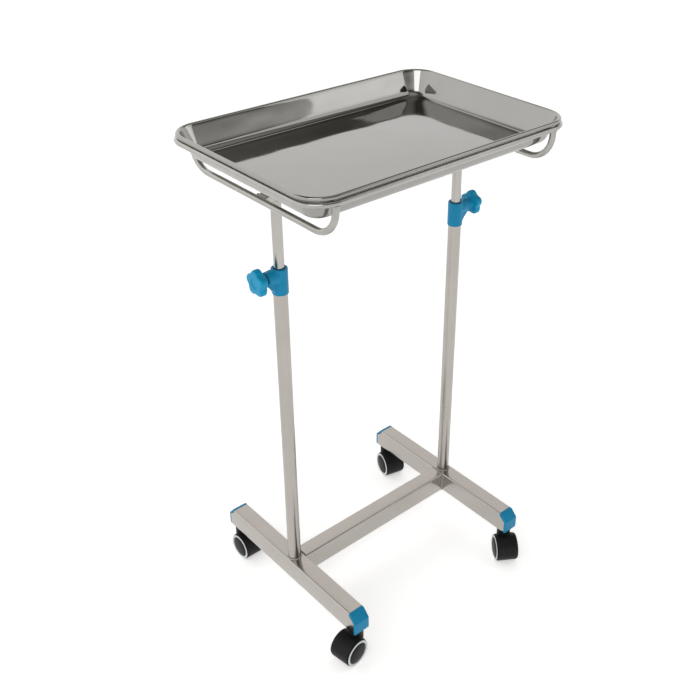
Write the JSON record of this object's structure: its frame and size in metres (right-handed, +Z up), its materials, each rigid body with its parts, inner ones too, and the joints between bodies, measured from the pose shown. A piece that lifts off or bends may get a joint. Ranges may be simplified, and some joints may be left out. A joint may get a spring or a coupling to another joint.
{
  "type": "instrument cart",
  "caption": "Wheeled instrument cart: a rolled-rim steel tray on twin telescopic posts with clamp knobs and an H-shaped tube base on swivel casters.",
  "frame": {"origin": "on the floor under the middle of the base and of the tray", "axes": "+Z up; X along the tray's length, with the clamp knobs at both ends; -Y is the front"},
  "size_m": [0.505, 0.3939, 0.845],
  "materials": {
    "polished_steel": "mirror-polished stainless sheet",
    "rod_steel": "bright drawn stainless rod",
    "satin_steel": "satin stainless tube, fine lengthwise grain",
    "tube_steel": "bright stainless tube",
    "blue_plastic": "moulded, slight sheen",
    "knob_plastic": "moulded, slight sheen",
    "natural_nylon": "turned",
    "brass_insert": "machined",
    "zinc_steel": "bright zinc plate",
    "black_plastic": "moulded, semi-gloss",
    "grey_tread": "smooth light grey tread"
  },
  "bodies": {
    "base": {"lower_post_left": "satin_steel", "lower_post_right": "satin_steel", "collar_left": "blue_plastic", "collar_right": "blue_plastic", "threaded_insert_left": "brass_insert", "threaded_insert_right": "brass_insert", "foot_bar_left": "satin_steel", "foot_bar_right": "satin_steel", "cross_bar": "satin_steel", "stem_nuts": "zinc_steel", "end_cap_front_left": "blue_plastic", "end_cap_front_right": "blue_plastic", "end_cap_back_left": "blue_plastic", "end_cap_back_right": "blue_plastic", "caster_stem_front_left": "zinc_steel", "caster_stem_front_right": "zinc_steel", "caster_stem_back_left": "zinc_steel", "caster_stem_back_right": "zinc_steel"},
    "upper_frame": {"ring_frame": "rod_steel", "u_rod_left": "rod_steel", "u_rod_right": "rod_steel", "support_rail": "tube_steel", "upper_post_left": "tube_steel", "upper_post_right": "tube_steel", "guide_bush_left": "natural_nylon", "guide_bush_right": "natural_nylon"},
    "tray": {"tray": "polished_steel"},
    "pad_left": {"pressure_pad_left": "natural_nylon"},
    "knob_left": {"star_knob_left": "knob_plastic", "clamp_screw_left": "zinc_steel"},
    "pad_right": {"pressure_pad_right": "natural_nylon"},
    "knob_right": {"star_knob_right": "knob_plastic", "clamp_screw_right": "zinc_steel"},
    "caster_front_left": {"caster_hood_front_left": "black_plastic", "caster_axle_front_left": "zinc_steel"},
    "wheel_front_left_a": {"wheel_front_left_a": "black_plastic", "tyre_front_left_a": "grey_tread"},
    "wheel_front_left_b": {"wheel_front_left_b": "black_plastic", "tyre_front_left_b": "grey_tread"},
    "caster_front_right": {"caster_hood_front_right": "black_plastic", "caster_axle_front_right": "zinc_steel"},
    "wheel_front_right_a": {"wheel_front_right_a": "black_plastic", "tyre_front_right_a": "grey_tread"},
    "wheel_front_right_b": {"wheel_front_right_b": "black_plastic", "tyre_front_right_b": "grey_tread"},
    "caster_back_left": {"caster_hood_back_left": "black_plastic", "caster_axle_back_left": "zinc_steel"},
    "wheel_back_left_a": {"wheel_back_left_a": "black_plastic", "tyre_back_left_a": "grey_tread"},
    "wheel_back_left_b": {"wheel_back_left_b": "black_plastic", "tyre_back_left_b": "grey_tread"},
    "caster_back_right": {"caster_hood_back_right": "black_plastic", "caster_axle_back_right": "zinc_steel"},
    "wheel_back_right_a": {"wheel_back_right_a": "black_plastic", "tyre_back_right_a": "grey_tread"},
    "wheel_back_right_b": {"wheel_back_right_b": "black_plastic", "tyre_back_right_b": "grey_tread"}
  },
  "joints": [
    {"name": "height", "type": "slide", "parent": "base", "child": "upper_frame", "axis": [0, 0, 1], "range_m": [-0.095, 0.3]},
    {"name": "tray_lift", "type": "slide", "parent": "upper_frame", "child": "tray", "axis": [0, 0, 1], "range_m": [0, 0.08]},
    {"name": "screw_travel_left", "type": "slide", "parent": "base", "child": "pad_left", "axis": [-1, 0, 0], "range_m": [0, 0.0025]},
    {"name": "knob_turn_left", "type": "hinge", "parent": "pad_left", "child": "knob_left", "pos_m": [-0.21, 0, 0.655], "axis": [-1, 0, 0], "range_deg": [0, 720]},
    {"name": "screw_travel_right", "type": "slide", "parent": "base", "child": "pad_right", "axis": [1, 0, 0], "range_m": [0, 0.0025]},
    {"name": "knob_turn_right", "type": "hinge", "parent": "pad_right", "child": "knob_right", "pos_m": [0.21, 0, 0.655], "axis": [1, 0, 0], "range_deg": [0, 720]},
    {"name": "swivel_front_left", "type": "hinge", "parent": "base", "child": "caster_front_left", "pos_m": [-0.182, -0.166, 0.05], "axis": [0, 0, 1], "continuous": true},
    {"name": "roll_front_left_a", "type": "hinge", "parent": "caster_front_left", "child": "wheel_front_left_a", "pos_m": [-0.19982, -0.16851, 0.024], "axis": [0.1392, -0.9903, 0], "continuous": true},
    {"name": "roll_front_left_b", "type": "hinge", "parent": "caster_front_left", "child": "wheel_front_left_b", "pos_m": [-0.19982, -0.16851, 0.024], "axis": [0.1392, -0.9903, 0], "continuous": true},
    {"name": "swivel_front_right", "type": "hinge", "parent": "base", "child": "caster_front_right", "pos_m": [0.182, -0.166, 0.05], "axis": [0, 0, 1], "continuous": true},
    {"name": "roll_front_right_a", "type": "hinge", "parent": "caster_front_right", "child": "wheel_front_right_a", "pos_m": [0.17193, -0.18092, 0.024], "axis": [0.829, -0.5592, 0], "continuous": true},
    {"name": "roll_front_right_b", "type": "hinge", "parent": "caster_front_right", "child": "wheel_front_right_b", "pos_m": [0.17193, -0.18092, 0.024], "axis": [0.829, -0.5592, 0], "continuous": true},
    {"name": "swivel_back_left", "type": "hinge", "parent": "base", "child": "caster_back_left", "pos_m": [-0.182, 0.166, 0.05], "axis": [0, 0, 1], "continuous": true},
    {"name": "roll_back_left_a", "type": "hinge", "parent": "caster_back_left", "child": "wheel_back_left_a", "pos_m": [-0.182, 0.148, 0.024], "axis": [1, 0, 0], "continuous": true},
    {"name": "roll_back_left_b", "type": "hinge", "parent": "caster_back_left", "child": "wheel_back_left_b", "pos_m": [-0.182, 0.148, 0.024], "axis": [1, 0, 0], "continuous": true},
    {"name": "swivel_back_right", "type": "hinge", "parent": "base", "child": "caster_back_right", "pos_m": [0.182, 0.166, 0.05], "axis": [0, 0, 1], "continuous": true},
    {"name": "roll_back_right_a", "type": "hinge", "parent": "caster_back_right", "child": "wheel_back_right_a", "pos_m": [0.17734, 0.14861, 0.024], "axis": [0.9659, -0.2588, 0], "continuous": true},
    {"name": "roll_back_right_b", "type": "hinge", "parent": "caster_back_right", "child": "wheel_back_right_b", "pos_m": [0.17734, 0.14861, 0.024], "axis": [0.9659, -0.2588, 0], "continuous": true}
  ],
  "couplings": [
    {"joint": "screw_travel_left", "follows": "knob_turn_left", "m_per_rad": 0.0001989},
    {"joint": "screw_travel_right", "follows": "knob_turn_right", "m_per_rad": 0.0001989}
  ]
}
